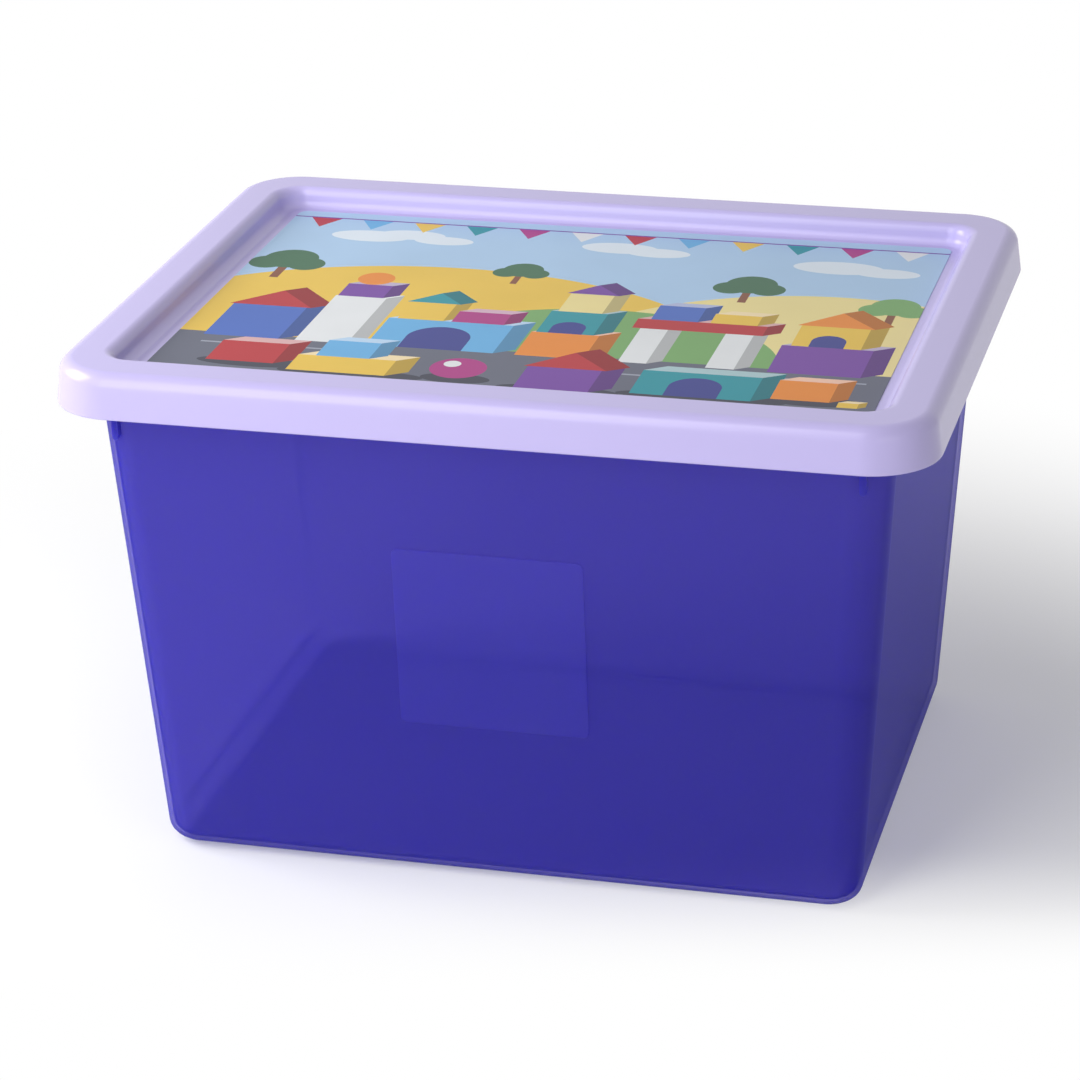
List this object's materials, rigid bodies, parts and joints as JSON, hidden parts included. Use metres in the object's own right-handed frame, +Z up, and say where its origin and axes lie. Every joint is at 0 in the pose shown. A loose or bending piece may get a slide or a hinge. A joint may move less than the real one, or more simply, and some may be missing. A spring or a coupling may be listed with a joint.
{
  "type": "building block storage box",
  "caption": "Tapered see-through storage tub with a turned-down rim, a clip-on lid with a sunken stacking top, and a printed picture label.",
  "frame": {"origin": "middle of the base, on the surface that the box stands on", "axes": "+X along the long side, +Z up, and the front wall with the square panel faces -Y"},
  "size_m": [0.4, 0.31, 0.2463],
  "materials": {
    "tub_plastic": "moulded see-through blue violet plastic, smooth",
    "lid_plastic": "moulded lavender plastic, satin gloss",
    "printed_film": "printed in-mould film in yellow, blue and grey, satin gloss"
  },
  "bodies": {
    "tub_body": {"tub": "tub_plastic"},
    "lid_body": {"lid": "lid_plastic", "picture_label": "printed_film"}
  },
  "joints": [
    {"name": "lid_lift", "type": "slide", "parent": "tub_body", "child": "lid_body", "axis": [0, 0, 1], "range_m": [0, 0.15]}
  ]
}
